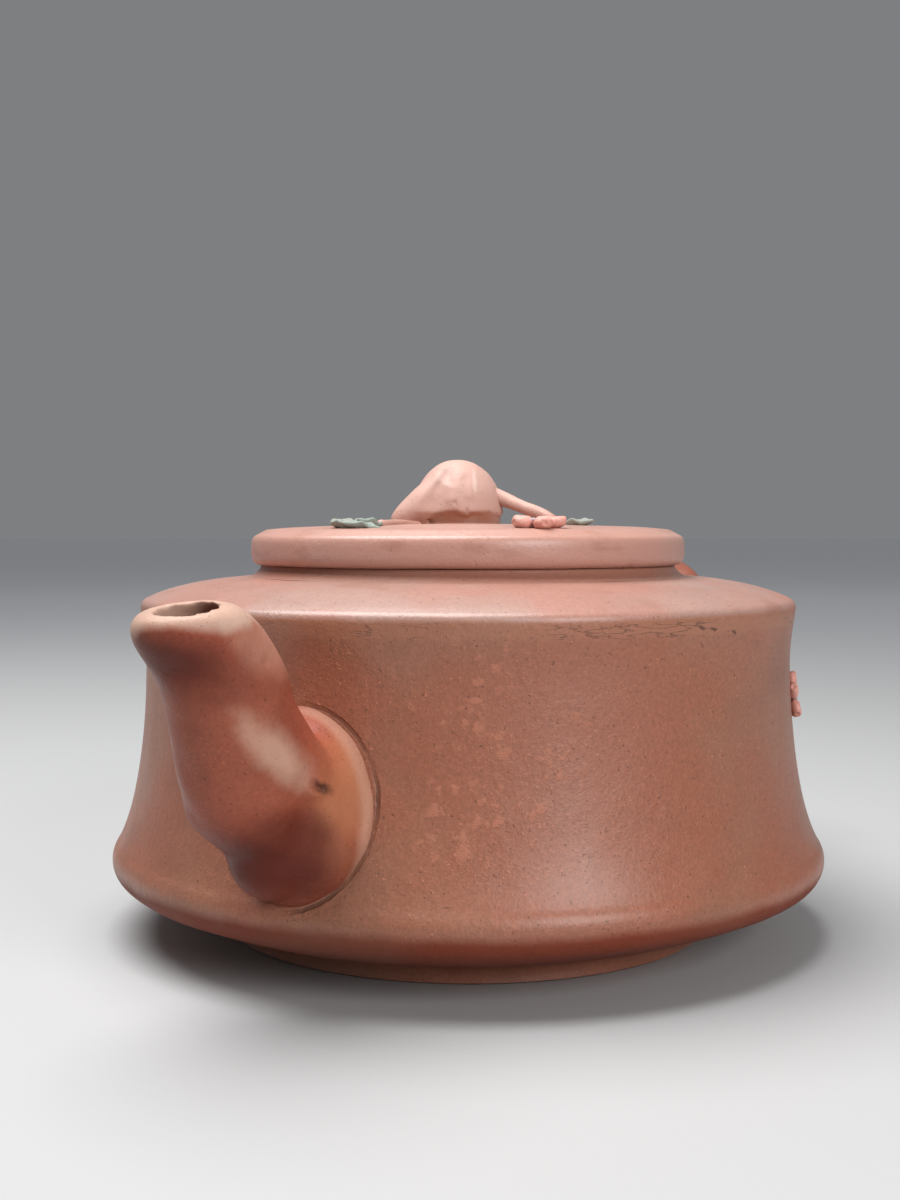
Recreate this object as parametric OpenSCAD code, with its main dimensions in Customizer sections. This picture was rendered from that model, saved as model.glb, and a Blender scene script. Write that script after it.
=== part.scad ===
// Low flared clay teapot with a loose lid. Millimetres, +Z up.
// Origin: centre of the foot, on the table. +X points at the spout, the handle is at -X.

/* [Pot] */
// Widest radius, at the flared lower rim
rim_r = 58; // [56:0.5:60]
// Radius of the waist
waist_r = 52.6; // [51.5:0.1:53.5]
// Radius of the sharp shoulder edge
edge_r = 53.4; // [52.8:0.1:54]
// Thickness of the beaten wall
wall_t = 3.3; // [2.8:0.1:3.8]
// Outer radius of the foot
foot_r = 39.7; // [38:0.1:40.5]
// Radius of the mouth
mouth_r = 30; // [29:0.1:31]
// Height of the seat that the lid rests on
seat_z = 59; // [58.6:0.1:59.4]

/* [Lid] */
// Outer radius of the lid
lid_r = 35.75; // [35:0.05:36.5]
// Height of the lid's edge
lid_h = 5.75; // [5.4:0.05:6.2]
// Rise of the lid's dome above its edge
dome_h = 0.95; // [0.6:0.05:1.4]
// Gap all round between the lid's flange and the mouth
flange_gap = 0.4; // [0.3:0.05:0.8]
// Depth of the flange below the seat
flange_depth = 7.8; // [6:0.1:9]
// Radius of the vent hole
vent_r = 1.1; // [0.8:0.1:1.5]

/* [Spout] */
// Height of the spout's root on the wall
spout_z = 27.6; // [27:0.1:28.2]
// Radius of the hole in the wall, filled by the strainer
strainer_r = 8.5; // [8:0.1:8.8]
// Radius of each strainer hole
strain_hole_r = 0.9; // [0.7:0.05:1]

/* [Handle] */
// How far the handle's back reaches from the axis
handle_reach = 83; // [81:0.5:84]

/* [Decoration] */
// Distance from a blossom's centre to the middle of a petal
petal_ring = 2.75; // [2.6:0.05:2.9]
// Petals on each blossom
petals = 5; // [5:1:6]

/* [Hidden] */

$fn = 96;
clay = [0.62, 0.36, 0.28];
dark_clay = [0.48, 0.25, 0.19];
pale_clay = [0.74, 0.5, 0.41];
pink_clay = [0.88, 0.53, 0.43];
green_clay = [0.6, 0.66, 0.58];
eye_clay = [0.66, 0.6, 0.62];

// ---- curves --------------------------------------------------------------

// Cubic curve from a to d, steered by b and c, in n steps
function curve(a, b, c, d, n) = [
    for (i = [0:n]) let (t = i / n, s = 1 - t)
        s * s * s * a + 3 * s * s * t * b + 3 * s * t * t * c + t * t * t * d
];

// Smooth curve through the rows of a list, n steps between neighbours
function row(p, i) = p[max(0, min(len(p) - 1, i))];
function through(p, n) = [
    for (i = [0:len(p) - 2]) each [for (k = [0:n - 1]) blend(p, i, k / n)],
    p[len(p) - 1]
];
function blend(p, i, t) = let (a = row(p, i - 1), b = row(p, i), c = row(p, i + 1), d = row(p, i + 2))
    (2 * b + (c - a) * t + (2 * a - 5 * b + 4 * c - d) * t * t + (3 * b - a - 3 * c + d) * t * t * t) / 2;

// ---- outlines of the pot -------------------------------------------------

base_z = 3;
floor_z = 6.2;
slab_top = 9.3;
wall_top = 51;
plate_z = 57.1;
plate_bore = mouth_r + 1.5;
neck_foot_r = 36;
flare_end = [57.2, 14.8];
waist = [waist_r, 43.5];
edge = [edge_r, 52.2];

underside = curve([41, base_z], [46, 4.2], [51, 6.2], [54.5, 7.8], 4);
rim = curve([54.5, 7.8], [rim_r - 0.4, 9], [rim_r + 1.3, 12], flare_end, 10);
flare = curve(flare_end, [54.6, 20], [waist_r + 0.1, 31], waist, 10);
lip = curve(waist, [waist_r, 47.5], [edge_r - 0.2, 50], edge, 5);
corner = curve(edge, [edge_r, 53.3], [edge_r - 0.5, 53.6], [52.2, 53.9], 4);
shoulder = curve([52.2, 53.9], [49.5, 55.3], [43, 56.9], [neck_foot_r, plate_z], 8);

// Radius of the outside at height z
function wall_radius(z) = lookup(z, [for (p = concat(rim, flare, lip)) [p[1], p[0]]]);

module outer_form() polygon(concat([[0, base_z]], underside, rim, flare, lip, corner, shoulder, [[0, plate_z]]));

module inner_form() {
    heel = curve([44, floor_z], [50, 6.5], [54.4, 9.5], [flare_end[0] - wall_t, flare_end[1]], 6);
    wall = [for (p = flare) p - [wall_t, 0]];
    top = curve([waist_r - wall_t, 45], [waist_r - wall_t, 50.6], [47, 52.6], [plate_bore, 53.9], 6);
    polygon(concat([[0, floor_z]], heel, wall, top, [[0, 53.9]]));
}

module band(low, high) translate([0, low]) square([rim_r + 5, high - low]);

module shell(low, high) rotate_extrude() difference() {
    intersection() {
        outer_form();
        band(low, high);
    }
    inner_form();
}

// The pot's outside as one solid: what is luted onto the wall is cut to it
module pot_mass() rotate_extrude($fn = 360) outer_form();

// ---- swept clay rolls ----------------------------------------------------

function unit(v) = v / norm(v);

// Rings of a roll: rows are [x, y, z, radius], and side is a direction that no part of the path runs along
function roll_ring(rows, i, side, sides) = let (
    c = [rows[i][0], rows[i][1], rows[i][2]],
    before = row(rows, i - 1), after = row(rows, i + 1),
    d = unit([after[0] - before[0], after[1] - before[1], after[2] - before[2]]),
    u = unit(cross(side, d)), v = cross(d, u)
) [for (k = [0:sides - 1]) let (a = 360 * k / sides) c + rows[i][3] * (cos(a) * u + sin(a) * v)];

// A ring of the spout: r is [x, z, slope of the spout, half width in the plane, half width across]
function slope_ring(r, sides) = [
    for (k = [0:sides - 1]) let (a = 360 * k / sides, up = r[3] * cos(a))
        [r[0] - up * sin(r[2]), -r[4] * sin(a), r[1] + up * cos(r[2])]
];

module skin(rings) {
    n = len(rings[0]);
    last = len(rings) - 1;
    points = [for (ring = rings) each ring];
    sides = [
        for (i = [0:last - 1], k = [0:n - 1]) let (a = i * n + k, b = i * n + (k + 1) % n)
            each [[a, a + n, b + n], [a, b + n, b]]
    ];
    caps = [[for (k = [0:n - 1]) k], [for (k = [n - 1:-1:0]) last * n + k]];
    polyhedron(points, concat(sides, caps), convexity = 4);
}

module roll(rows, side, steps = 3, sides = 16) {
    fine = through(rows, steps);
    skin([for (i = [0:len(fine) - 1]) roll_ring(fine, i, side, sides)]);
}

// ---- pot -----------------------------------------------------------------

module foot_ring() color(dark_clay) rotate_extrude() polygon(concat(
    [[foot_r - 4.2, 0.5], [foot_r - 3.7, 0], [foot_r - 0.5, 0]],
    curve([foot_r, 0.4], [foot_r - 0.3, 1.4], [foot_r - 0.2, 2.6], [foot_r + 1.3, base_z], 5),
    [[foot_r - 4.6, base_z]]
));

module base_slab() color(clay) shell(base_z, slab_top);

module body_wall() color(clay) difference() {
    shell(slab_top, wall_top);
    translate([40, 0, spout_z]) rotate([0, 90, 0]) cylinder(r = strainer_r, h = 20);
}

module shoulder_plate() color(pale_clay) difference() {
    shell(wall_top, plate_z);
    translate([0, 0, 50]) cylinder(r = plate_bore, h = 10);
}

module neck_ring() color(clay) rotate_extrude() polygon(concat(
    [[mouth_r, 53.9], [plate_bore, 53.9], [plate_bore, plate_z]],
    curve([neck_foot_r, plate_z], [35.2, 57.5], [34.4, 58.1], [34.2, seat_z - 0.3], 4),
    [[33.9, seat_z], [mouth_r + 0.4, seat_z], [mouth_r, seat_z - 0.4]]
));

// Spout rows: [x, z, slope, half width in the plane, half width across]
SPOUT = [
    [48, spout_z, 0, 12.4, 12.4],
    [54.5, spout_z, 0, 13, 12.6],
    [59, spout_z + 0.4, 10, 12, 11.6],
    [62.8, 30.4, 36, 10.6, 10.2],
    [65.4, 35, 62, 9.2, 9.2],
    [67.2, 41, 70, 8.4, 8.5],
    [69.2, 46.4, 68, 8.3, 8.4],
    [72, 51, 68, 8.2, 7.9],
    [75.2, 54.4, 76, 7.2, 7.2],
    [76.3, 56.2, 82, 6.2, 6.2]
];
// The channel follows the spout: half width at each spout row
CHANNEL = [7.4, 7.4, 7.2, 6.6, 6, 5.6, 5.4, 5, 4.3, 3.9];

module spout_bore() {
    rows = through([for (i = [0:len(SPOUT) - 1]) [for (c = [0:4]) c < 3 ? SPOUT[i][c] : CHANNEL[i]]], 2);
    last = rows[len(rows) - 1];
    skin([for (r = concat(rows, [last + [0.15, 1.2, 0, 0, 0]])) slope_ring(r, 20)]);
}

module spout() color(dark_clay) difference() {
    skin([for (r = through(SPOUT, 3)) slope_ring(r, 28)]);
    pot_mass();
    spout_bore();
}

// Strainer: a domed sieve luted into the hole in the wall
module spout_strainer() color(pale_clay) {
    seat_x = 49.8;
    bore = strainer_r - 1.5;
    rim_h = 2.9;
    translate([seat_x, 0, spout_z]) rotate([0, -90, 0]) difference() {
        union() {
            difference() {
                sphere(r = strainer_r);
                translate([0, 0, -strainer_r]) cube(2 * strainer_r, center = true);
            }
            translate([0, 0, -rim_h]) cylinder(r = strainer_r, h = rim_h);
        }
        sphere(r = bore);
        translate([0, 0, -rim_h - 1]) cylinder(r = bore, h = rim_h + 1);
        for (ring = [[22, 6], [50, 11]], k = [0:ring[1] - 1])
            rotate([0, ring[0], 360 * (k + 0.5) / ring[1]])
                translate([0, 0, bore - 2]) cylinder(r = strain_hole_r, h = 5, $fn = 48);
    }
}

// Handle rows: [x, y, z, radius], from the shoulder edge round to the lower wall
HANDLE = [
    [-46, 0, 44.5, 7.2],
    [-54, 0, 48, 6.9],
    [-61, 0, 53, 6.2],
    [-67.6, 0, 56, 5.8],
    [9.4 - handle_reach, 0, 54.6, 5.7],
    [6 - handle_reach, 0, 49.4, 5.6],
    [5.5 - handle_reach, 0, 42.6, 5.5],
    [6.8 - handle_reach, 0, 35.4, 5.3],
    [10.6 - handle_reach, 0, 28.6, 5.3],
    [-65.6, 0, 23.2, 5.6],
    [-57, 0, 19.6, 6.4],
    [-48, 0, 16.6, 6.8]
];

module handle() color(dark_clay) difference() {
    roll(HANDLE, [0, 1, 0], 3, 20);
    pot_mass();
}

// Two sawn twig stumps on the handle's back
module handle_knots() color(dark_clay) difference() {
    union() {
        translate([-70, -2, 56]) rotate([18, -22, 0]) knot(2.6, 6.4);
        translate([-74.5, 1.5, 33]) rotate([-8, -98, 0]) knot(2.5, 6.6);
    }
    roll(HANDLE, [0, 1, 0], 3, 20);
}

module knot(r, h) rotate_extrude($fn = 32) polygon([[0, 0], [r + 0.9, 0], [r, h - 0.6], [r - 0.5, h], [0, h - 0.5]]);

// Side twig rows: springs from the handle's crook and lands on the wall under the shoulder edge
HANDLE_TWIG = [
    [-72, 3, 53.6, 3.6],
    [-69.6, 8.8, 55.8, 3.3],
    [-64.4, 14.8, 55.4, 3.1],
    [-57, 20.2, 52, 2.9],
    [-49.4, 24.8, 46.8, 2.8],
    [-42, 28.6, 42.6, 2.6]
];

module handle_twig() color(dark_clay) difference() {
    roll(HANDLE_TWIG, unit([0.4, 0.2, 1]), 3, 16);
    roll(HANDLE, [0, 1, 0], 3, 20);
    pot_mass();
}

// ---- relief on the wall --------------------------------------------------

// A point at this turn about the axis, height and distance out from the wall
function on_wall(turn, z, out = 0) = let (r = wall_radius(z) + out) [r * cos(turn), r * sin(turn), z];
module at_wall(turn, z, out = 0) translate(on_wall(turn, z, out)) rotate([0, 90, turn]) children();

// Bough rows: [turn, height, radius]
BOUGH = [[146.5, 44.6, 2.6], [140, 42, 2.1], [132, 41.6, 1.8], [124, 39.6, 1.6], [118, 40.6, 1.3], [113.6, 40.4, 0.9]];
SIDE_SHOOT = [[130, 41.2, 1.3], [126, 36.4, 1.1], [121, 32.6, 0.9]];

module shoot(rows) roll([for (r = rows) concat(on_wall(r[0], r[1]), [r[2]])], [0, 0, 1], 3, 10);

module wall_bough() color(dark_clay) difference() {
    union() {
        shoot(BOUGH);
        shoot(SIDE_SHOOT);
    }
    pot_mass();
    roll(HANDLE_TWIG, unit([0.4, 0.2, 1]), 3, 16);
}

module petal(r, h) rotate_extrude($fn = 48) polygon([[0, -2], [r, -2], [r, h * 0.55], [r * 0.6, h], [0, h]]);

module blossom(r, h, ring = petal_ring) for (k = [0:petals - 1])
    rotate([0, 0, 360 * k / petals + 18]) translate([ring, 0, 0]) petal(r, h);

module eye(r, h) rotate_extrude($fn = 48) polygon([[0, -1], [r, -1], [r, h * 0.6], [r * 0.6, h], [0, h]]);

// Places on the wall: [turn, height]
BLOSSOMS = [[108.6, 37.8], [128, 46.2], [138.6, 35]];
LEAVES = [[123.4, 29.6, -35], [119.4, 46.4, 60], [134.6, 47, 100], [146, 34.4, -15]];
BUDS = [[116.4, 36.2], [120, 35.4], [131, 36.8]];

module blossom_reach() for (b = BLOSSOMS) at_wall(b[0], b[1], -0.8) translate([0, 0, -3]) cylinder(r = 4.9, h = 9, $fn = 32);

module wall_blossoms() color(pink_clay) difference() {
    for (b = BLOSSOMS) at_wall(b[0], b[1]) blossom(1.95, 1.1);
    pot_mass();
    for (b = BLOSSOMS) at_wall(b[0], b[1]) eye_seat();
    shoot(BOUGH);
    shoot(SIDE_SHOOT);
}

module eye_seat() translate([0, 0, -4]) cylinder(r = 1.3, h = 9, $fn = 32);

module wall_blossom_eyes() color(eye_clay) difference() {
    for (b = BLOSSOMS) at_wall(b[0], b[1]) eye(1.3, 1);
    pot_mass();
}

module leaf(length, width, h) {
    arc_r = (length * length / 4 + width * width / 4) / width;
    linear_extrude(h) intersection_for(s = [-1, 1]) translate([0, s * (arc_r - width / 2)]) circle(r = arc_r, $fn = 64);
}

module wall_leaves() color(green_clay) difference() {
    for (f = LEAVES) at_wall(f[0], f[1], -1.2) rotate([0, 0, f[2]]) leaf(8, 3.6, 2.1);
    pot_mass();
    shoot(BOUGH);
    shoot(SIDE_SHOOT);
    blossom_reach();
}

module wall_buds() color(pink_clay) difference() {
    for (b = BUDS) at_wall(b[0], b[1], -0.4) sphere(r = 1.5, $fn = 32);
    pot_mass();
    shoot(BOUGH);
    shoot(SIDE_SHOOT);
    blossom_reach();
}

// ---- lid -----------------------------------------------------------------

lid_edge_z = seat_z + lid_h;
recess_z = seat_z + 2.6;
flange_r = mouth_r - flange_gap;
flange_bore = flange_r - 4;
view_turn = 26.5;

module lid_outline() polygon(concat(
    [[0, recess_z], [flange_bore, recess_z], [flange_bore, seat_z]],
    curve([lid_r - 1.5, seat_z], [lid_r - 0.4, seat_z + 0.1], [lid_r, seat_z + 0.9], [lid_r, seat_z + 2], 4),
    curve([lid_r, lid_edge_z - 2.7], [lid_r, lid_edge_z - 1], [lid_r - 0.9, lid_edge_z - 0.2], [lid_r - 2.6, lid_edge_z], 6),
    curve([lid_r - 2.6, lid_edge_z], [28, lid_edge_z + dome_h * 0.6], [15, lid_edge_z + dome_h], [0, lid_edge_z + dome_h], 8)
));

module lid_mass() rotate_extrude($fn = 360) union() {
    lid_outline();
    square([flange_r, lid_edge_z - 1]);
}

// Lid pieces are set out with +X toward the front of the lid and +Y to its right
module on_lid() rotate([0, 0, view_turn]) children();

module lid_disc() color(pale_clay) difference() {
    rotate_extrude() lid_outline();
    on_lid() translate([-13, -1, seat_z]) cylinder(r = vent_r, h = 12);
}

module lid_flange() color(clay) rotate_extrude() polygon([
    [flange_bore, seat_z], [flange_bore, seat_z - flange_depth + 0.5], [flange_bore + 0.5, seat_z - flange_depth],
    [flange_r - 0.8, seat_z - flange_depth], [flange_r, seat_z - flange_depth + 1], [flange_r, seat_z]
]);

// Stump rows: [height above the edge of the lid, radius, shift to the right]
STUMP = [[0, 7.6, -1.6], [2.4, 7.3, -1.5], [5.4, 6.9, -1.4], [8, 6.1, -1.3], [9.9, 4.6, -1.5], [11.1, 2.8, -1.7], [11.6, 0.8, -1.8]];
root_turn = -90;
root_reach = 5.6;

// The stump swells into a root that runs down to the left, and is ridged lengthways
function root(h, a) = root_reach * exp(-h / 2.6) * pow(max(0, cos(a - root_turn)), 3);
function stump_radius(h, r, a) = r * (1 + 0.035 * cos(5 * a + 20) + 0.02 * cos(9 * a)) + root(h, a);

module knob_mass() translate([0, 0, lid_edge_z]) skin([
    for (s = through(STUMP, 3)) [
        for (k = [0:35]) let (a = 10 * k, r = stump_radius(s[0], s[1], a)) [r * cos(a), s[2] + r * sin(a), s[0]]
    ]
]);

module knob_stump() color(pale_clay) difference() {
    on_lid() knob_mass();
    lid_mass();
}

KNOB_TWIG = [[0.5, 2, 8.2, 1.3], [1.6, 5.4, 6.5, 1.2], [4, 9, 4.2, 1.1], [6.2, 12.4, 2.3, 1], [7.6, 15.2, 0.2, 0.9]];
LEAF_STEM = [[6.4, -8, 0.5, 0.8], [11, -10.6, 0.8, 0.8], [16, -12.6, 0.8, 0.7], [20, -14, 0.6, 0.6]];

module lid_roll(rows, sides) on_lid() translate([0, 0, lid_edge_z]) roll(rows, [0, 0.1, 1], 3, sides);

module knob_twig() color(pale_clay) difference() {
    lid_roll(KNOB_TWIG, 12);
    on_lid() knob_mass();
    lid_mass();
}

module leaf_stem() color(dark_clay) difference() {
    lid_roll(LEAF_STEM, 10);
    on_lid() knob_mass();
    lid_mass();
}

blossom_place = [27.6, 9.9];
deck_z = lid_edge_z + 0.4;

module at_lid(place, turn = 0, z = deck_z) on_lid() translate([place[0], place[1], z]) rotate([0, 0, turn]) children();

module lid_blossom() color(pink_clay) difference() {
    at_lid(blossom_place) blossom(2, 1.7);
    at_lid(blossom_place) eye_seat();
    lid_mass();
}

module lid_blossom_eye() color(eye_clay) difference() {
    at_lid(blossom_place) eye(1.3, 1.5);
    lid_mass();
}

// Leaves on the lid: [forward, right, turn, tilt]
LID_LEAVES = [[22, -18.4, 60, 5], [20.4, -14.6, 100, -7], [24.4, -16.6, 20, 6]];

module lid_leaf(f) at_lid([f[0], f[1]], f[2], deck_z - 0.7) rotate([f[3], 0, 0]) leaf(8, 3.4, 1.9);

module lid_leaves() color(green_clay) difference() {
    for (f = LID_LEAVES) lid_leaf(f);
    lid_roll(LEAF_STEM, 10);
    lid_mass();
}

module lid_side_leaf() color(green_clay) difference() {
    lid_leaf([10.4, 18, 80, -8]);
    lid_roll(KNOB_TWIG, 12);
    lid_mass();
}

module lid_bud() color(pink_clay) difference() {
    at_lid([12.6, -13.6], 0, deck_z + 0.1) sphere(r = 1.2, $fn = 32);
    lid_roll(LEAF_STEM, 10);
    lid_mass();
}

foot_ring();
base_slab();
body_wall();
shoulder_plate();
neck_ring();
spout();
spout_strainer();
handle();
handle_knots();
handle_twig();
wall_bough();
wall_blossoms();
wall_blossom_eyes();
wall_leaves();
wall_buds();
lid_disc();
lid_flange();
knob_stump();
knob_twig();
leaf_stem();
lid_blossom();
lid_blossom_eye();
lid_leaves();
lid_side_leaf();
lid_bud();
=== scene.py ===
"""Low flared clay teapot: the thrown and luted clay pieces, their finishes, and a plain studio."""

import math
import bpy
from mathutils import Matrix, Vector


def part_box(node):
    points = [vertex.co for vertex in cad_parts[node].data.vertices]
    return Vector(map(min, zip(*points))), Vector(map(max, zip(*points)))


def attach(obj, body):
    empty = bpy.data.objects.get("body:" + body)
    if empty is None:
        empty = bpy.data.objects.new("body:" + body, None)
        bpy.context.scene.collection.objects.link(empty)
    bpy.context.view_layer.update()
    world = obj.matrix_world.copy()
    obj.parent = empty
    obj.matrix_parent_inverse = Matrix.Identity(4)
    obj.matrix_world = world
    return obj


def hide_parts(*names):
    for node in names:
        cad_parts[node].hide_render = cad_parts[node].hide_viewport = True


bl_info = {
    "name": "Blossom Branch Teapot",
    "version": (1, 0, 0),
    "blender": (4, 5, 0),
    "location": "3D View > Sidebar > Teapot",
    "description": "Builds an unglazed clay teapot with a branch spout, a branch handle and applied blossoms",
    "category": "Add Mesh",
}

import bpy
from mathutils import Matrix, Vector

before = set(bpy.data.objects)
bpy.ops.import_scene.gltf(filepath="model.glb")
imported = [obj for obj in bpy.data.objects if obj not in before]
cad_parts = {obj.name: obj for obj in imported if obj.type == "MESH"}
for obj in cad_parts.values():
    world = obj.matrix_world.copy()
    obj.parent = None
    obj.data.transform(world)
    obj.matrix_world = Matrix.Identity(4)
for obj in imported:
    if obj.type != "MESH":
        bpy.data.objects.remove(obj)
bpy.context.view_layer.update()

MM = 0.001

# ---- measures read from the frame, in millimetres ---------------------------

RIM_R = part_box("body_wall")[1].x / MM
EDGE_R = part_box("shoulder_plate")[1].x / MM
FOOT_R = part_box("foot_ring")[1].x / MM
BASE_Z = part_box("foot_ring")[1].z / MM
SLAB_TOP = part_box("body_wall")[0].z / MM
WALL_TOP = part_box("body_wall")[1].z / MM
PLATE_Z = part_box("shoulder_plate")[1].z / MM
NECK_FOOT_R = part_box("neck_ring")[1].x / MM
SEAT_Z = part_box("neck_ring")[1].z / MM
LID_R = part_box("lid_disc")[1].x / MM
LID_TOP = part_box("lid_disc")[1].z / MM
FLANGE_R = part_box("lid_flange")[1].x / MM
FLANGE_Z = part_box("lid_flange")[0].z / MM
STRAINER_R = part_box("spout_strainer")[1].y / MM
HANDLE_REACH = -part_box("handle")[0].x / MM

FLOOR_Z = BASE_Z + 3.2
EDGE_Z = 53.0
WAIST_R = EDGE_R - 0.8
WAIST_Z = 43.5
MOUTH_R = FLANGE_R + 0.4
SPOUT_Z = 27.6
DOME_H = 0.95
LID_HOLLOW = 2.6  # depth of the hollow under the lid
LID_EDGE_Z = LID_TOP - DOME_H
WALL_T = 3.3  # thickness of the wall
FLANGE_T = 4  # thickness of the lid's flange
LUTE = 0.8  # how deep an applied piece sinks into the wall
MIDDLE = 0.02  # an outline that reaches the axis stops this short of it
BASE_MID_R = 20  # a ring half way along the flat base
WELD = 0.002  # points nearer than this become one
FRONT_TURN = 26.5  # degrees from the spout to the side that is the front
ROOT_Y, ROOT_Z, ROOT_W, ROOT_H = 0.8, 27.4, 11.7, 13.4  # middle and half widths of the spout's root


# ---- settings a user would change --------------------------------------------


def colour(name, description, default):
    return bpy.props.FloatVectorProperty(
        name=name, description=description, default=default, subtype="COLOR", size=3, min=0, max=1
    )


def length(name, description, default, low, high):
    return bpy.props.FloatProperty(
        name=name,
        description=description,
        default=default * MM,
        min=low * MM,
        max=high * MM,
        subtype="DISTANCE",
        unit="LENGTH",
    )


class TeapotClays(bpy.types.PropertyGroup):
    body: colour("Body clay", "Clay of the wall, the base and the foot", (0.276, 0.103, 0.059))
    shoulder: colour("Shoulder clay", "Burnished clay of the shoulder, lid and knob", (0.36, 0.195, 0.155))
    handled: colour("Handled clay", "Clay darkened by tea and hands", (0.28, 0.072, 0.041))
    raw: colour("Raw clay", "Unburnished clay inside the pot", (0.36, 0.16, 0.10))
    pink: colour("Petal clay", "Coral clay of the petals and buds", (0.60, 0.28, 0.225))
    green: colour("Leaf clay", "Grey green clay of the leaves", (0.235, 0.265, 0.23))
    eye: colour("Blossom eye", "Greyish lavender slip in the blossoms", (0.36, 0.27, 0.28))


class TeapotHand(bpy.types.PropertyGroup):
    unevenness: length("Unevenness", "How far the beaten wall wanders from round", 0.3, 0, 1)
    grain: length("Clay grain", "Size of the grains seen in the clay", 0.35, 0.1, 1)


class TeapotStudio(bpy.types.PropertyGroup):
    floor: colour("Floor", "Pale floor", (0.42, 0.42, 0.42))
    sky: colour("Surround", "Soft light from all round", (0.80, 0.82, 0.85))
    key_power: bpy.props.FloatProperty(
        name="Key light", description="Power of the large light above the pot", default=7, min=0, unit="POWER"
    )
    fill_power: bpy.props.FloatProperty(
        name="Fill light", description="Power of the light at the right", default=3.0, min=0, unit="POWER"
    )


# ---- modelling helpers -------------------------------------------------------


def curve(a, b, c, d, steps):
    """Points of the cubic curve from a to d, steered by b and c."""
    points = []
    for i in range(steps + 1):
        t = i / steps
        s = 1 - t
        weights = (s**3, 3 * s * s * t, 3 * s * t * t, t**3)
        points.append(tuple(sum(w * p[k] for w, p in zip(weights, (a, b, c, d))) for k in range(len(a))))
    return points


def mode(name):
    bpy.ops.object.mode_set(mode=name)


def clear_selection():
    if bpy.context.object and bpy.context.object.mode != "OBJECT":
        mode("OBJECT")
    bpy.ops.object.select_all(action="DESELECT")


def take(*objects):
    """Selects these objects and makes the first one active."""
    clear_selection()
    for obj in objects:
        obj.select_set(True)
    bpy.context.view_layer.objects.active = objects[0]


def named(name):
    obj = bpy.context.object
    obj.name = name
    obj.data.name = name
    bpy.ops.object.transform_apply(location=True, rotation=True, scale=True)
    return obj


def settle(obj, place):
    """Moves a selected shape to its place and applies the move."""
    obj.matrix_world = place
    bpy.ops.object.transform_apply(location=True, rotation=True, scale=True)


def close_skin(weld=0.0):
    """Leaves edit mode with the mesh welded within this distance and its faces turned outward."""
    bpy.ops.mesh.select_all(action="SELECT")
    if weld:
        bpy.ops.mesh.remove_doubles(threshold=weld * MM)
    bpy.ops.mesh.normals_make_consistent(inside=False)
    mode("OBJECT")


def pull(obj, at, move, reach):
    """Pushes or pulls soft clay: the point nearest to at moves, and its surroundings follow within reach."""
    at = Vector(at)
    nearest = min(obj.data.vertices, key=lambda vertex: (vertex.co / MM - at).length_squared).index
    take(obj)
    mode("EDIT")
    bpy.context.tool_settings.mesh_select_mode = (True, False, False)
    bpy.ops.mesh.select_all(action="DESELECT")
    mode("OBJECT")
    obj.data.vertices[nearest].select = True
    mode("EDIT")
    bpy.ops.transform.translate(
        value=Vector(move) * MM,
        use_proportional_edit=True,
        proportional_edit_falloff="SMOOTH",
        proportional_size=reach * MM,
    )
    mode("OBJECT")


def touch(obj, right, height, push, reach):
    """Presses a finger in (a negative push) or raises the clay at a place seen from the front."""
    turn = math.radians(FRONT_TURN)
    front = Vector((math.cos(turn), math.sin(turn), 0))
    side = Vector((-math.sin(turn), math.cos(turn), 0))
    seen = [v.co / MM for v in obj.data.vertices]
    near = [co for co in seen if (co.dot(side) - right) ** 2 + (co.z - height) ** 2 < 0.5]
    at = max(near, key=lambda co: co.dot(front))
    pull(obj, at, front * push, reach)


def modify(obj, kind, **settings):
    take(obj)
    bpy.ops.object.modifier_add(type=kind)
    modifier = obj.modifiers[-1]
    for key, value in settings.items():
        setattr(modifier, key, value)
    bpy.ops.object.modifier_apply(modifier=modifier.name)
    return obj


def wander(obj, size, depth, detail=1):
    """Leaves the slow unevenness of handwork in a surface."""
    texture = bpy.data.textures.new(obj.name + "_wander", "CLOUDS")
    texture.noise_scale = size * MM
    texture.noise_depth = detail
    strength = 2 * depth * MM
    return modify(obj, "DISPLACE", texture=texture, strength=strength, mid_level=0.5, texture_coords="LOCAL")


def cut(obj, cutter):
    return modify(obj, "BOOLEAN", object=cutter, operation="DIFFERENCE", solver="EXACT")


def discard(*objects):
    for obj in objects:
        bpy.data.objects.remove(obj)


def thrown(name, outline, sides=192, closed=True):
    """Turns a shape as on a wheel: a circle is drawn up through the outline's (radius, height) points."""
    clear_selection()
    radius, height = outline[0]
    bpy.ops.mesh.primitive_circle_add(vertices=sides, radius=radius * MM, location=(0, 0, height * MM))
    obj = named(name)
    mode("EDIT")
    bpy.ops.mesh.select_all(action="SELECT")
    stations = outline[1:] + outline[:1] if closed else outline[1:]
    for next_radius, next_height in stations:
        rise = (0, 0, (next_height - height) * MM)
        bpy.ops.mesh.extrude_region_move(TRANSFORM_OT_translate={"value": rise})
        grow = next_radius / radius
        bpy.ops.transform.resize(value=(grow, grow, 1), center_override=(0, 0, 0))
        radius, height = next_radius, next_height
    close_skin(WELD)
    return obj


def roll(name, rows, sides=8, smooth=10):
    """Rolls a coil of clay through rows of x, y, z and radius."""
    clear_selection()
    bpy.ops.curve.primitive_bezier_curve_add()
    obj = bpy.context.object
    path = obj.data
    spline = path.splines[0]
    spline.bezier_points.add(len(rows) - 2)
    for point, (x, y, z, radius) in zip(spline.bezier_points, rows):
        point.co = Vector((x, y, z)) * MM
        point.radius = radius
        point.handle_left_type = point.handle_right_type = "AUTO"
    path.bevel_depth = MM
    path.bevel_resolution = sides
    path.resolution_u = smooth
    path.use_fill_caps = True
    bpy.ops.object.convert(target="MESH")
    obj = named(name)
    mode("EDIT")
    close_skin(WELD)
    return obj


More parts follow.
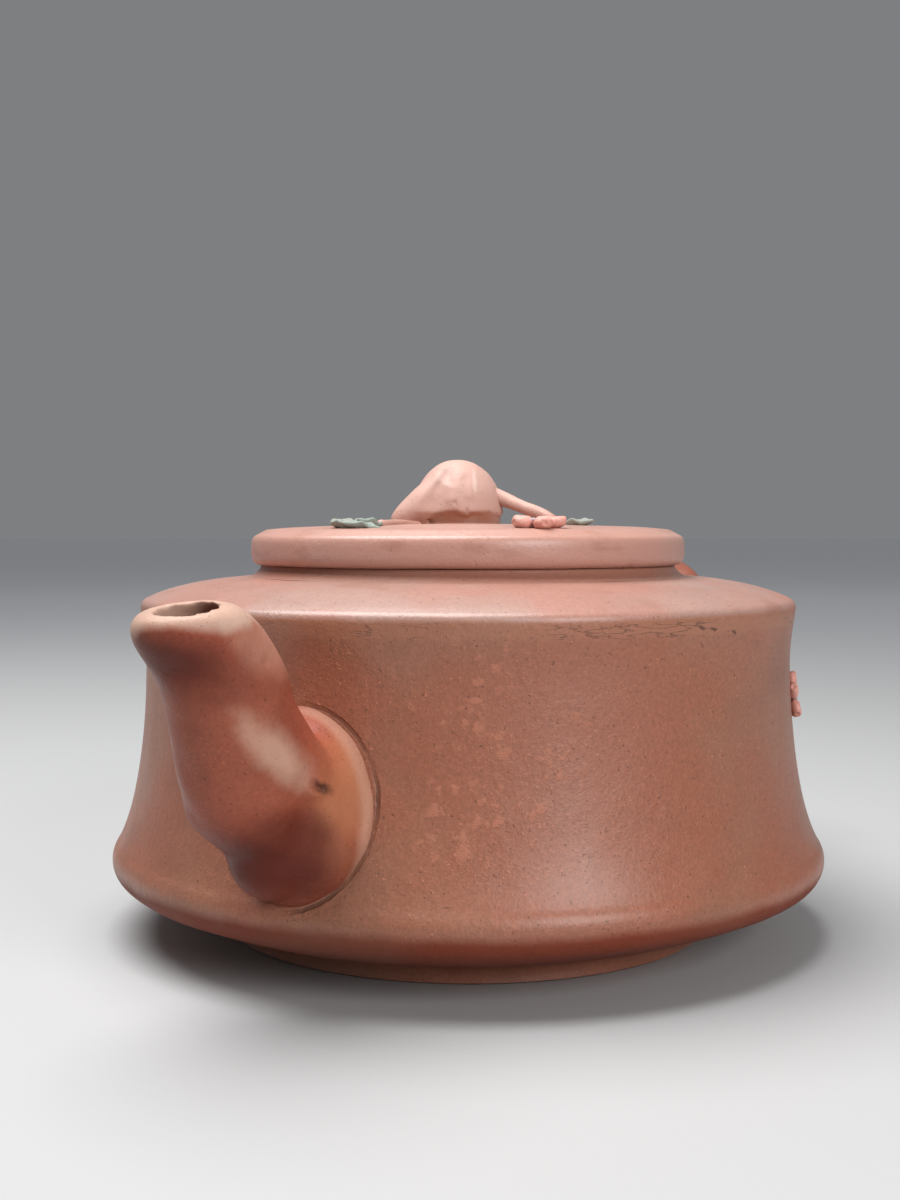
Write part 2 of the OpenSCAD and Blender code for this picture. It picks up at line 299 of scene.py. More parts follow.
def through(rows, steps=4):
    """More rows between the given ones, on a smooth path through them all."""
    path = []
    for i in range(len(rows) - 1):
        before, start, end, after = (rows[max(0, min(j, len(rows) - 1))] for j in (i - 1, i, i + 1, i + 2))
        for k in range(steps):
            t = k / steps
            path.append(
                tuple(
                    b + 0.5 * t * (c - a + t * (2 * a - 5 * b + 4 * c - d + t * (3 * (b - c) + d - a)))
                    for a, b, c, d in zip(before, start, end, after)
                )
            )
    return path + [rows[-1]]


def drawn_out(name, rows, sides=56):
    """A solid drawn through rings in rows of x, y, z, slope, half width along X and half width along Y.

    The slope is the heading in degrees above +X, so a ring at slope 90 lies flat.
    """
    clear_selection()
    x, y, z, slope, deep, wide = rows[0]
    lean = (0, math.radians(90 - slope), 0)
    place = Vector((x, y, z)) * MM
    bpy.ops.mesh.primitive_circle_add(vertices=sides, radius=deep * MM, location=place, rotation=lean)
    bpy.context.object.scale = (1, wide / deep, 1)
    obj = named(name)
    mode("EDIT")
    bpy.ops.mesh.select_all(action="SELECT")
    bpy.ops.mesh.edge_face_add()
    for nx, ny, nz, next_slope, next_deep, next_wide in rows[1:]:
        centre = Vector((nx, ny, nz)) * MM
        bpy.ops.mesh.extrude_region_move(TRANSFORM_OT_translate={"value": centre - Vector((x, y, z)) * MM})
        grow = next_deep / deep
        bpy.ops.transform.resize(value=(grow, next_wide / wide, grow), center_override=centre)
        turn = math.radians(next_slope - slope)
        bpy.ops.transform.rotate(value=turn, orient_axis="Y", center_override=centre)
        x, y, z, slope, deep, wide = nx, ny, nz, next_slope, next_deep, next_wide
    close_skin()
    return obj


def pellet(name, at, radii, turn=(0, 0, 0)):
    """A ball of clay pressed to three half widths."""
    clear_selection()
    turn = [math.radians(a) for a in turn]
    place = Vector(at) * MM
    bpy.ops.mesh.primitive_uv_sphere_add(segments=40, ring_count=24, radius=MM, location=place, rotation=turn)
    bpy.context.object.scale = radii
    return named(name)


def fuse(name, parts, grain=0.5, smooth=6):
    """Works several lumps of clay into one smooth mass."""
    take(*parts)
    if len(parts) > 1:
        bpy.ops.object.join()
    obj = bpy.context.object
    obj.name = obj.data.name = name
    modify(obj, "REMESH", mode="VOXEL", voxel_size=grain * MM)
    if smooth:
        modify(obj, "SMOOTH", factor=0.5, iterations=smooth)
    return obj


def slice_off(obj, point, normal):
    """Cuts off what lies on the side that the normal points to, and closes the cut."""
    take(obj)
    mode("EDIT")
    bpy.ops.mesh.select_all(action="SELECT")
    bpy.ops.mesh.bisect(
        plane_co=Vector(point) * MM,
        plane_no=normal,
        use_fill=True,
        clear_inner=False,
        clear_outer=True,
        threshold=1e-6,
    )
    mode("OBJECT")
    return obj


def copy_of(obj, name):
    take(obj)
    bpy.ops.object.duplicate()
    twin = bpy.context.object
    twin.name = twin.data.name = name
    return twin


def hand_in(obj, body, slot, nodes=None, angle=35):
    """Finishes a piece: shading, clay, the body that it rides on, and the frame nodes that it stands for."""
    take(obj)
    bpy.ops.object.shade_smooth_by_angle(angle=math.radians(angle))
    obj.data.materials.clear()
    obj.data.materials.append(Kiln.clays[slot])
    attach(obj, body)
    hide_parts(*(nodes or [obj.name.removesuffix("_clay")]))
    return obj


# ---- places ------------------------------------------------------------------


def lid_spot(forward, right, up=0.0):
    """A place on the lid: forward to its front, right as seen from the front, and up from its edge."""
    turn = math.radians(FRONT_TURN)
    return (
        forward * math.cos(turn) - right * math.sin(turn),
        forward * math.sin(turn) + right * math.cos(turn),
        LID_EDGE_Z + up,
    )


def lid_roll(name, rows, sides=8):
    """Rolls a coil over the lid through rows of forward, right, height above its edge and radius."""
    return roll(name, [(*lid_spot(*row[:3]), row[3]) for row in rows], sides)


UNDERSIDE = curve((41, BASE_Z), (46, 4.2), (51, 6.2), (54.5, 7.8), 10)
RIM = curve((54.5, 7.8), (RIM_R - 0.4, 9), (RIM_R + 1.3, 12), (RIM_R - 0.8, 14.8), 24)
FLARE = curve((RIM_R - 0.8, 14.8), (54.6, 20), (WAIST_R + 0.1, 31), (WAIST_R, WAIST_Z), 36)
LIP = curve((WAIST_R, WAIST_Z), (WAIST_R, 47.5), (EDGE_R - 0.2, 50), (EDGE_R, 52.2), 14)
CORNER = curve((EDGE_R, 52.2), (EDGE_R, 53.3), (EDGE_R - 0.5, 53.6), (EDGE_R - 1.2, 53.9), 8)
SHOULDER = curve((EDGE_R - 1.2, 53.9), (49.5, 55.3), (43, 56.9), (NECK_FOOT_R, PLATE_Z), 24)
OUTSIDE = UNDERSIDE[:-1] + RIM[:-1] + FLARE[:-1] + LIP[:-1] + CORNER[:-1] + SHOULDER
HEEL = curve((44, FLOOR_Z), (50, 6.5), (54.4, 9.5), (RIM_R - 4.1, 14.8), 12)
CEILING = curve((WAIST_R - WALL_T, 45), (WAIST_R - WALL_T, 50.6), (47, 52.6), (MOUTH_R + 1.5, 53.9), 14)
INSIDE = HEEL + [(r - WALL_T, z) for r, z in FLARE[1:]] + CEILING


def wall_radius(height):
    """Outer radius of the wall at a height."""
    points = RIM + FLARE + LIP
    for (r0, z0), (r1, z1) in zip(points, points[1:]):
        if z0 <= height <= z1 and z1 > z0:
            return r0 + (r1 - r0) * (height - z0) / (z1 - z0)
    return EDGE_R


def wall_spot(turn, height, out=0.0):
    """A place on the wall: degrees about the axis from the spout, and height."""
    radius = wall_radius(height) + out
    return radius * math.cos(math.radians(turn)), radius * math.sin(math.radians(turn)), height


# ---- shader helpers ----------------------------------------------------------


class Wire:
    """An output of a node, so that shader maths reads as an expression."""

    def __init__(self, finish, socket):
        self.finish = finish
        self.socket = socket

    def maths(self, operation, first, second=0.0):
        return self.finish.node("ShaderNodeMath", {"operation": operation}, {0: first, 1: second})

    def __add__(self, other):
        return self.maths("ADD", self, other)

    __radd__ = __add__

    def __sub__(self, other):
        return self.maths("SUBTRACT", self, other)

    def __rsub__(self, other):
        return self.maths("SUBTRACT", other, self)

    def __mul__(self, other):
        return self.maths("MULTIPLY", self, other)

    __rmul__ = __mul__

    def __truediv__(self, other):
        return self.maths("DIVIDE", self, other)

    def __abs__(self):
        return self.maths("ABSOLUTE", self)

    def root(self):
        return self.maths("SQRT", self)


class Finish:
    """A clay finish under construction."""

    def __init__(self, name):
        self.material = bpy.data.materials.new(name)
        self.material.use_nodes = True
        self.tree = self.material.node_tree
        self.tree.nodes.clear()
        self.place = self.node("ShaderNodeTexCoord", output="Object")
        self.split = self.node("ShaderNodeSeparateXYZ", inputs={0: self.place})

    def node(self, kind, settings=None, inputs=None, output=0):
        """Adds a node: its settings first, then the value or link of each named or numbered input."""
        node = self.tree.nodes.new(kind)
        for key, value in (settings or {}).items():
            setattr(node, key, value)
        for key, value in (inputs or {}).items():
            if isinstance(value, Wire):
                self.tree.links.new(value.socket, node.inputs[key])
            else:
                node.inputs[key].default_value = value
        return Wire(self, node.outputs[output])

    def axis(self, letter):
        """Where a point is along an axis, in millimetres."""
        return Wire(self, self.split.socket.node.outputs[letter]) / MM

    def vector(self, operation, inputs, output=0):
        return self.node("ShaderNodeVectorMath", {"operation": operation}, inputs, output)

    def noise(self, size, detail=2.0, stretch=(1, 1, 1), shift=(0, 0, 0)):
        """Cloudy values from 0 to 1 with features of about this many millimetres."""
        inputs = {"Vector": self.place, "Scale": stretch, "Location": [s * MM for s in shift]}
        place = self.node("ShaderNodeMapping", inputs=inputs)
        inputs = {"Vector": place, "Scale": 1 / (size * MM), "Detail": detail}
        return self.node("ShaderNodeTexNoise", inputs=inputs)

    def step(self, value, low, high):
        """0 below low and 1 above high, eased between. Low may be above high."""
        settings = {"interpolation_type": "SMOOTHSTEP"}
        return self.node("ShaderNodeMapRange", settings, {"Value": value, "From Min": low, "From Max": high})

    def mix(self, factor, first, second):
        """Blends two colours."""
        settings = {"data_type": "RGBA", "clamp_factor": True}
        first, second = ((*c, 1) if isinstance(c, tuple) and len(c) == 3 else c for c in (first, second))
        return self.node("ShaderNodeMix", settings, {0: factor, 6: first, 7: second}, output=2)

    def near(self, spot, radius):
        """1 at a place in millimetres, falling to 0 at this distance from it."""
        away = self.vector("DISTANCE", {0: self.place, 1: Vector(spot) * MM}, "Value")
        return self.step(away / MM, radius, radius * 0.35)

    def patch(self, right, height, long, short, lean):
        """1 in the middle of a leaning cloud seen from the front, falling to 0 at about its half widths."""
        turn, lean = math.radians(FRONT_TURN), math.radians(lean)
        across = self.axis("Y") * math.cos(turn) - self.axis("X") * math.sin(turn) - right
        up = self.axis("Z") - height
        far = (across * math.cos(lean) + up * math.sin(lean)) / long
        near = (up * math.cos(lean) - across * math.sin(lean)) / short
        ragged = self.noise(short * 1.2, 3) * 0.7 - 0.35
        return self.step((far * far + near * near).root() + ragged, 1.15, 0.15)

    def scratch(self, start, end, width, wobble=0.4):
        """1 along a line between two places in millimetres, 0 beyond half the width on each side of it."""
        start, along = Vector(start) * MM, (Vector(end) - Vector(start)) * MM
        wobble *= MM
        shake = self.node("ShaderNodeTexNoise", inputs={"Vector": self.place, "Scale": 400.0}, output="Color")
        moved = self.vector("MULTIPLY_ADD", {0: shake, 1: [wobble] * 3, 2: self.place})
        arm = self.vector("SUBTRACT", {0: moved, 1: start + Vector([wobble / 2] * 3)})
        share = self.vector("DOT_PRODUCT", {0: arm, 1: along}, "Value")
        share = self.node("ShaderNodeClamp", inputs={"Value": share / along.length_squared})
        foot = self.vector("SCALE", {0: along, "Scale": share})
        away = self.vector("DISTANCE", {0: arm, 1: foot}, "Value")
        return self.step(away / MM, width * 0.5, width * 0.2)

    def leather(self, grain):
        """The close grain of beaten clay, in millimetres of height."""
        fine = self.noise(grain, 3) - 0.5
        close = self.noise(grain * 3.6, 3, shift=(0, 0, 30)) - 0.5
        slow = self.noise(7, 2) - 0.5
        return fine * 0.075 + close * 0.11 + slow * 0.3

    def layers(self, colour, *layers):
        """Lays masks and their colours over a colour, one after another."""
        for mask, shade in layers:
            colour = self.mix(mask, colour, shade)
        return colour

    def surface(self, colour, roughness, height, **constants):
        """Finishes the material: the height is in millimetres."""
        inputs = {"Height": height, "Strength": 1.0, "Distance": MM}
        bump = self.node("ShaderNodeBump", inputs=inputs, output="Normal")
        inputs = {"Base Color": colour, "Roughness": roughness, "Normal": bump, **constants}
        shader = self.node("ShaderNodeBsdfPrincipled", inputs=inputs, output="BSDF")
        output = self.tree.nodes.new("ShaderNodeOutputMaterial")
        self.tree.links.new(shader.socket, output.inputs["Surface"])
        return self.material


def tone(colour, factor):
    return tuple(min(1.0, c * factor) for c in colour)


def clay_layers(finish, base, grain, contrast=1.0):
    """The colour of fired clay, clouded and grained, and the masks of its pale and dark grains."""
    red = (base[0] * 1.04, base[1] * 0.93, base[2] * 0.9)
    tan = (base[0] * 0.99, base[1] * 1.08, base[2] * 1.1)
    fine = finish.noise(grain * 1.5, 4, shift=(40, 0, 0))
    spread = finish.noise(6, 2, shift=(0, 0, 90))
    pale = finish.step(finish.noise(grain, 1), 0.67, 0.73) * finish.step(spread, 0.4, 0.6)
    dark = finish.step(finish.noise(grain * 1.5, 1, shift=(0, 70, 0)), 0.69, 0.76)
    colour = finish.layers(
        finish.mix(finish.step(finish.noise(22, 3), 0.4, 0.62), red, tan),
        (finish.step(fine, 0.55, 0.3) * (0.3 * contrast), tone(base, 0.62)),
        (finish.step(fine, 0.5, 0.75) * (0.3 * contrast), tone(base, 1.5)),
        (pale * (0.55 * contrast), tone(base, 2.3)),
        (dark * (0.6 * contrast), tone(base, 0.3)),
    )
    return colour, pale, dark


def clay(name, base, roughness, grain, contrast=1.0, sheen=0.25):
    """A plain fired clay."""
    finish = Finish(name)
    colour, pale, dark = clay_layers(finish, base, grain, contrast)
    burnish = finish.noise(6, 2, stretch=(1, 1, 0.35))
    rough = burnish * 0.16 + (roughness - 0.08)
    height = finish.leather(grain) - dark * 0.06 + pale * 0.03
    return finish.surface(colour, rough, height, **{"Coat Weight": sheen, "Coat Roughness": 0.38})


class Tint:
    """Colours that tea, hands, tools and the fire leave on the clay, and painted light: the knob, strip,
    ridge, side, edge and lip colours are painted highlights, the groove, under-lip, heel, valley and hollow
    colours painted shade, and the rim partly painted shade.
    """

    # The clay's own orange under the rim, darkened further as painted shade on the underside.
    RIM = (0.165, 0.025, 0.007)
    # Painted highlight: the whole knob lighter, for the light falling on its top.
    KNOB_PAINTED_LIGHT = (0.53, 0.33, 0.275)
    # Painted shadow in the groove down the knob's left side.
    GROOVE_SHADOW = (0.26, 0.15, 0.13)
    # Painted highlight: a narrow bright strip down the knob.
    STRIP_HIGHLIGHT = (0.75, 0.56, 0.49)
    COLLAR = (0.40, 0.145, 0.07)
    # Painted shade under the spout's lip.
    UNDER_LIP_SHADE = (0.095, 0.017, 0.009)
    # Painted shade on the underside of the spout's lower bulb.
    HEEL = (0.085, 0.014, 0.008)
    # Painted shade in the hollow between the spout's ridge and its lower bulb.
    VALLEY_SHADE = (0.10, 0.018, 0.010)
    # Painted highlight along the spout's raised ridge.
    RIDGE = (0.48, 0.275, 0.195)
    # Painted highlight on the side of the spout's head.
    SIDE_HIGHLIGHT = (0.42, 0.20, 0.14)
    HANDLE = (0.19, 0.07, 0.045)
    # Painted highlight along the collar's raised edge at the wall.
    EDGE_HIGHLIGHT = (0.50, 0.28, 0.20)
    # Painted highlight on the lit top of the spout's lip.
    LIP = (0.52, 0.35, 0.27)
    # Painted shade in the knot's hollow.
    HOLLOW_SHADE = (0.045, 0.016, 0.012)


# Clouds seen from the front: right of the axis, height, half width along and across, lean in degrees.
SPOUT_CLOUDS = {
    # Painted highlight on the side of the spout's head.
    "side": (-24.6, 50.4, 6.4, 3.6, -52),
    # Painted shade under the spout's lip.
    "under_lip_shade": (-35.4, 48.4, 11.0, 5.6, -12),
    # Painted highlight along the spout's raised ridge.
    "ridge": (-23.9, 37.0, 7.8, 2.9, -53),
    # Painted shade on the underside of the spout's lower bulb.
    "heel": (-25.4, 21.0, 12.5, 8.6, -14),
    # Painted shade in the hollow between the spout's ridge and its lower bulb.
    "valley": (-21.8, 26.2, 6.0, 4.0, -25),
    "collar": (-15.6, 30.5, 12.5, 6.2, 84),
    # Painted shade in the knot's hollow.
    "hollow": (-18.6, 31.5, 1.8, 1.0, -40),
}
TORN_CLOUD = (-1.0, LID_EDGE_Z + 1.6, 10, 6, 0)
# Painted shadow where the groove runs down the knob.
GROOVE_SHADOW_CLOUD = (-4.4, LID_EDGE_Z + 8.3, 3.2, 0.7, 57)
# Painted highlight: a narrow bright strip down the knob.
STRIP_HIGHLIGHT_CLOUD = (1.15, LID_EDGE_Z + 7.7, 2.6, 0.5, 93)
DRY_SPOT, DRY_REACH = (47, 27, 34), 25
# Scratches and cracks in the wall: degrees and height at each end, width, wobble, strength.
SCRATCHES = (
    (63.8, 51.1, 68, 50.8, 0.55, 1.4, 1),
    (68, 50.8, 72.3, 50.1, 0.5, 1.4, 1),
    (8, 14.9, 24, 15.4, 0.3, 0.8, 0.5),
    (-28.5, 20.6, -9.7, 19.1, 0.22, 0.5, 0.4),
)


def luting_place(finish):
    """How far out a point is from the middle of the spout's root, in half widths of the root, along X."""
    across = (finish.axis("Y") - ROOT_Y) / ROOT_W
    up = (finish.axis("Z") - ROOT_Z) / ROOT_H
    return (across * across + up * up).root()


def luting_shadow_line(finish):
    """1 in the thin dark line on the wall round the spout's root: painted shadow in the gap under the
    collar's lifted edge.
    """
    line = finish.step(abs(luting_place(finish) + finish.noise(2, 3) * 0.04 - 1.045), 0.035, 0.012)
    line = line * (finish.noise(6, 2, shift=(0, 30, 0)) * 2.2 - 0.5)
    return line * finish.step(finish.axis("X"), 40, 44) * finish.step(finish.axis("Y"), 0, 5)


def wall_crack_and_shadow_lines(finish, height):
    """1 in the scratches, the fine crack lines under the shoulder's edge, and the painted shadow line round
    the spout's root.
    """
    seam = finish.noise(3.0, 3, stretch=(0.5, 0.5, 3.0), shift=(0, 20, 11))
    seam = finish.step(abs(seam - 0.5), 0.02, 0.004)
    seam = seam * finish.step(finish.noise(12, 1, shift=(5, 0, 0)), 0.5, 0.58)
    seam = seam * finish.step(height, 49.6, 50.4) * finish.step(height, 52.4, 51.8)
    # Real crack lines under the edge, and painted shadow round the spout's root.
    crack_and_shadow_lines = seam * 0.6 + luting_shadow_line(finish) * 0.9
    for turn, low, next_turn, high, width, wobble, strength in SCRATCHES:
        ends = wall_spot(turn, low), wall_spot(next_turn, high)
        crack_and_shadow_lines = crack_and_shadow_lines + finish.scratch(*ends, width, wobble) * strength
    return crack_and_shadow_lines


def vessel_clay(name, clays, grain):
    """The body's clay: the wall has a dry patch at the front and a dark rim, its own orange with painted
    shade under it, and above its edge the clay is burnished and paler. The wall, the shoulder and the lid
    wear it alike, so no seam shows between them."""
    finish = Finish(name)
    base, burnished = tuple(clays.body), tuple(clays.shoulder)
    height = finish.axis("Z")

    wall, pale, dark = clay_layers(finish, base, grain)
    # Where the wall turns under at the rim: its own orange, and painted shade on the underside.
    rim = finish.step(height + finish.noise(10, 3) * 1.6, 13.2, 11.2)
    rim = rim * finish.step(height, BASE_Z - 0.4, BASE_Z + 0.4)
    cloudy = finish.step(finish.noise(30, 2, stretch=(1, 1, 2)), 0.5, 0.7)
    flakes = finish.step(finish.noise(1.9, 4), 0.54, 0.64) * finish.step(finish.noise(7, 2), 0.46, 0.6)
    patch = finish.near(DRY_SPOT, DRY_REACH) * flakes
    band = finish.step(height + finish.noise(4, 3) * 1.5, 50.2, 51.6)
    crack_and_shadow_lines = wall_crack_and_shadow_lines(finish, height)
    wall = finish.layers(
        wall,
        # Orange rim, partly painted shade.
        (rim * 0.95, Tint.RIM),
        (cloudy * 0.4, tone(base, 0.68)),
        (patch * 0.42, tone(base, 1.75)),
        (band * 0.5, (base[0] * 1.25, base[1] * 1.4, base[2] * 1.4)),
        # Darker in the scratches and crack lines, and painted shadow round the spout's root.
        (crack_and_shadow_lines * 0.75, tone(base, 0.3)),
    )

    upper = finish.step(height + finish.noise(5, 2) * 0.6, EDGE_Z - 0.5, EDGE_Z + 0.4)
    lid = finish.step(height, SEAT_Z - 0.2, SEAT_Z + 0.2)
    neck = finish.step(height, PLATE_Z - 0.4, PLATE_Z + 0.8) * (1 - lid)
    knob = finish.step(height, LID_EDGE_Z + 1.5, LID_EDGE_Z + 4)
    torn = finish.step(height + finish.noise(2.5, 2) * 1.2, LID_EDGE_Z + 3.9, LID_EDGE_Z + 3.3)
    torn = torn * finish.step(height, LID_EDGE_Z + 0.9, LID_EDGE_Z + 1.3)
    smear = finish.step(finish.noise(9, 4, stretch=(1, 1, 3), shift=(0, 0, 55)), 0.56, 0.7)
    top = finish.layers(
        clay_layers(finish, burnished, grain, 0.55)[0],
        (lid * 0.5, tone(burnished, 1.45)),
        (neck * 0.6, tone(base, 0.95)),
        # Painted highlight: the knob lighter, for the light falling on its top.
        (knob * 0.75, Tint.KNOB_PAINTED_LIGHT),
        (torn * finish.patch(*TORN_CLOUD), base),
        # Painted shadow in the groove down the knob's left side.
        (finish.patch(*GROOVE_SHADOW_CLOUD) * knob * 0.4, Tint.GROOVE_SHADOW),
        # Painted highlight: a narrow bright strip down the knob.
        (finish.patch(*STRIP_HIGHLIGHT_CLOUD) * knob * 0.5, Tint.STRIP_HIGHLIGHT),
        (smear * 0.3, tone(base, 0.95)),
    )

    colour = finish.mix(upper, wall, top)
    burnish = finish.noise(7, 3, stretch=(1, 1, 0.35))
    rough = burnish * 0.3 + 0.27 + patch * 0.2 + (1 - upper) * 0.04 + knob * 0.24 + rim * 0.2
    relief = finish.leather(grain) * (1.15 - upper * 0.6 - knob * 0.25)
    relief = relief - dark * 0.05 + pale * 0.03 + patch * 0.05 - crack_and_shadow_lines * 0.16
    coat = 0.34 - rim * 0.34 - knob * 0.24
    constants = {"Specular IOR Level": 0.34, "Coat Weight": coat, "Coat Roughness": 0.32}
    return finish.surface(colour, rough, relief, **constants)


def branch_clay(name, clays, grain):
    """Branches darkened and polished by tea and hands, orange at the spout's root, with painted highlights on
    the lip, ridge, head's side and collar's edge, and painted shade under the lip, in the valley, in the
    knot's hollow and on the heel.
    """
    finish = Finish(name)
    base = tuple(clays.handled)
    colour, _, dark = clay_layers(finish, base, grain, 0.8)
    blur = finish.noise(8, 2) - 0.5
    front = finish.step(finish.axis("X"), 50, 52)
    # The top of the spout, lighter as painted highlight.
    lip = finish.step(finish.axis("Z") + blur * 6, 51.6, 53.6) * front
    # The collar's raised edge at the wall, lighter as painted highlight.
    edge = finish.step(luting_place(finish) + blur * 0.1, 0.86, 0.97)
    edge = edge * finish.step(finish.axis("Y"), -2, 4) * finish.step(finish.axis("X"), 56, 54) * front
    stain = finish.step(finish.noise(7, 3, shift=(9, 9, 0)), 0.48, 0.7)
    cloud = {key: finish.patch(*place) * front for key, place in SPOUT_CLOUDS.items()}
    colour = finish.layers(
        colour,
        (stain * 0.3, tone(base, 0.5)),
        (cloud["collar"] * 0.85, Tint.COLLAR),
        # Painted shade under the spout's lip.
        (cloud["under_lip_shade"] * (1 - lip), Tint.UNDER_LIP_SHADE),
        # Painted shade on the underside of the spout's lower bulb.
        (cloud["heel"] * 0.95, Tint.HEEL),
        # Painted shade in the hollow between the spout's ridge and its lower bulb.
        (cloud["valley"] * 0.8, Tint.VALLEY_SHADE),
        # Painted highlight along the spout's raised ridge.
        (cloud["ridge"] * 0.85, Tint.RIDGE),
        # Painted highlight on the side of the spout's head.
        (cloud["side"] * 0.75, Tint.SIDE_HIGHLIGHT),
        ((1 - front) * 0.75, Tint.HANDLE),
        # Painted highlight along the collar's raised edge at the wall.
        (edge * 0.6, Tint.EDGE_HIGHLIGHT),
        # Painted highlight on the lit top of the spout's lip.
        (lip * 0.85, Tint.LIP),
        # Painted shade in the knot's hollow.
        (cloud["hollow"] * 0.75, Tint.HOLLOW_SHADE),
    )
    rough = finish.noise(5, 3) * 0.3 + 0.26
    relief = finish.leather(grain) * 0.75 - dark * 0.05
    coat = cloud["ridge"] * 0.3 + 0.06
    constants = {"Specular IOR Level": 0.14, "Coat Weight": coat, "Coat Roughness": 0.3}
    return finish.surface(colour, rough, relief, **constants)


# ---- operators: one for each piece or group of like pieces -------------------


class Kiln:
    """The finishes and the cutting shapes that the pieces share."""

    clays = {}
    tools = {}

    @classmethod
    def fire(cls, scene):
        colours, grain = scene.teapot_clays, scene.teapot_hand.grain / MM
        cls.clays = {
            "body_clay": vessel_clay("body_clay", colours, grain),
            "shoulder_clay": vessel_clay("shoulder_clay", colours, grain),
            "handled_clay": branch_clay("handled_clay", colours, grain),
            "raw_clay": clay("raw_clay", tuple(colours.raw), 0.72, grain, 1.2, 0.0),
            "pink_clay": clay("pink_clay", tuple(colours.pink), 0.55, grain, 0.5, 0.1),
            "green_clay": clay("green_clay", tuple(colours.green), 0.6, grain, 0.6, 0.05),
            "eye_clay": clay("eye_clay", tuple(colours.eye), 0.6, grain, 0.6, 0.05),
        }

    @classmethod
    def wall_core(cls):
        """The pot's mass, a luting depth inside its surface: what is applied to the wall is cut to it."""
        if "wall" not in cls.tools:
            outline = [(max(r - LUTE, MIDDLE), z) for r, z in OUTSIDE]
            outline = [(MIDDLE, BASE_Z)] + outline + [(MIDDLE, PLATE_Z - LUTE)]
            cls.tools["wall"] = thrown("wall_core", outline, 128, closed=False)
        return cls.tools["wall"]

    @classmethod
    def lid_core(cls):
        """The lid's mass, just inside its surface."""
        if "lid" not in cls.tools:
            outline = [(r - 0.2, z - 0.25) for r, z in lid_outline()[2:-1]]
            outline = [(MIDDLE, FLANGE_Z)] + outline + [(MIDDLE, LID_TOP - 0.25)]
            cls.tools["lid"] = thrown("lid_core", outline, 96, closed=False)
        return cls.tools["lid"]

    @classmethod
    def put_away(cls):
        discard(*cls.tools.values())
        cls.tools = {}


def lid_outline():
    """The lid's section from the middle of its underside round to the middle of its dome."""
    seat, edge, bore = SEAT_Z, LID_EDGE_Z, FLANGE_R - FLANGE_T
    outer, tip, step, brim = LID_R, LID_R - 0.8, LID_R - 1.0, LID_R - 2.6
    return (
        [(MIDDLE, seat + LID_HOLLOW), (bore, seat + LID_HOLLOW), (bore, seat)]
        + curve((outer - 1.5, seat), (outer - 0.4, seat + 0.1), (outer, seat + 0.9), (outer, seat + 2), 8)
        + curve((outer, edge - 3.1), (outer, edge - 1.9), (outer - 0.15, edge - 1.2), (tip, edge - 0.9), 10)
        + curve((step, edge - 0.8), (outer - 1.5, edge - 0.55), (outer - 2.0, edge - 0.25), (brim, edge), 6)
        + curve((brim, edge), (28, edge + DOME_H * 0.6), (15, edge + DOME_H), (MIDDLE, edge + DOME_H), 24)[1:]
    )


class TEAPOT_OT_vessel(bpy.types.Operator):
    """Makes the base, the wall and the shoulder as one beaten shell, cut where they are luted"""

    bl_idname = "teapot.vessel"
    bl_label = "Base, wall and shoulder"

    def execute(self, context):
        hand = context.scene.teapot_hand
        section = [(MIDDLE, BASE_Z), (BASE_MID_R, BASE_Z)] + OUTSIDE + [(MOUTH_R + 1.5, PLATE_Z)]
        section += list(reversed(INSIDE)) + [(BASE_MID_R, FLOOR_Z), (MIDDLE, FLOOR_Z)]
        shell = thrown("vessel", section, closed=False)
        wander(shell, 26, hand.unevenness / MM * 0.5)
        for name, low, high in (
            ("base_slab", None, SLAB_TOP),
            ("body_wall", SLAB_TOP, WALL_TOP),
            ("shoulder_plate", WALL_TOP, None),
        ):
            piece = copy_of(shell, name + "_clay")
            if high is not None:
                slice_off(piece, (0, 0, high), (0, 0, 1))
            if low is not None:
                slice_off(piece, (0, 0, low), (0, 0, -1))
            if name == "body_wall":
                drill = roll("drill", [(40, 0, SPOUT_Z, STRAINER_R), (60, 0, SPOUT_Z, STRAINER_R)], 16)
                cut(piece, drill)
                discard(drill)
            slot = "shoulder_clay" if name == "shoulder_plate" else "body_clay"
            hand_in(piece, "pot", slot, [name])
        discard(shell)
        return {"FINISHED"}


class TEAPOT_OT_rings(bpy.types.Operator):
    """Turns the foot ring and the neck ring"""

    bl_idname = "teapot.rings"
    bl_label = "Foot and neck rings"

    def execute(self, context):
        foot = [(-5.6, BASE_Z), (-5.3, 0.6), (-4.9, 0.1), (-4.4, 0), (-1.8, 0)]
        foot += curve((-1.3, 0.3), (-1.5, 1.4), (-1.4, 2.6), (0, BASE_Z + 0.1), 8)
        foot = [(FOOT_R + r, z) for r, z in foot]
        ring = thrown("foot_ring_clay", foot)
        hand_in(ring, "pot", "body_clay")
        neck = [(MOUTH_R, 53.9), (MOUTH_R + 1.5, 53.9), (MOUTH_R + 1.5, PLATE_Z)]
        neck += curve((NECK_FOOT_R, PLATE_Z), (35.2, 57.5), (34.4, 58.1), (34.2, SEAT_Z - 0.3), 10)
        neck += [(34.05, SEAT_Z - 0.06), (33.7, SEAT_Z), (MOUTH_R + 0.4, SEAT_Z), (MOUTH_R, SEAT_Z - 0.4)]
        hand_in(thrown("neck_ring_clay", neck), "pot", "shoulder_clay")
        return {"FINISHED"}


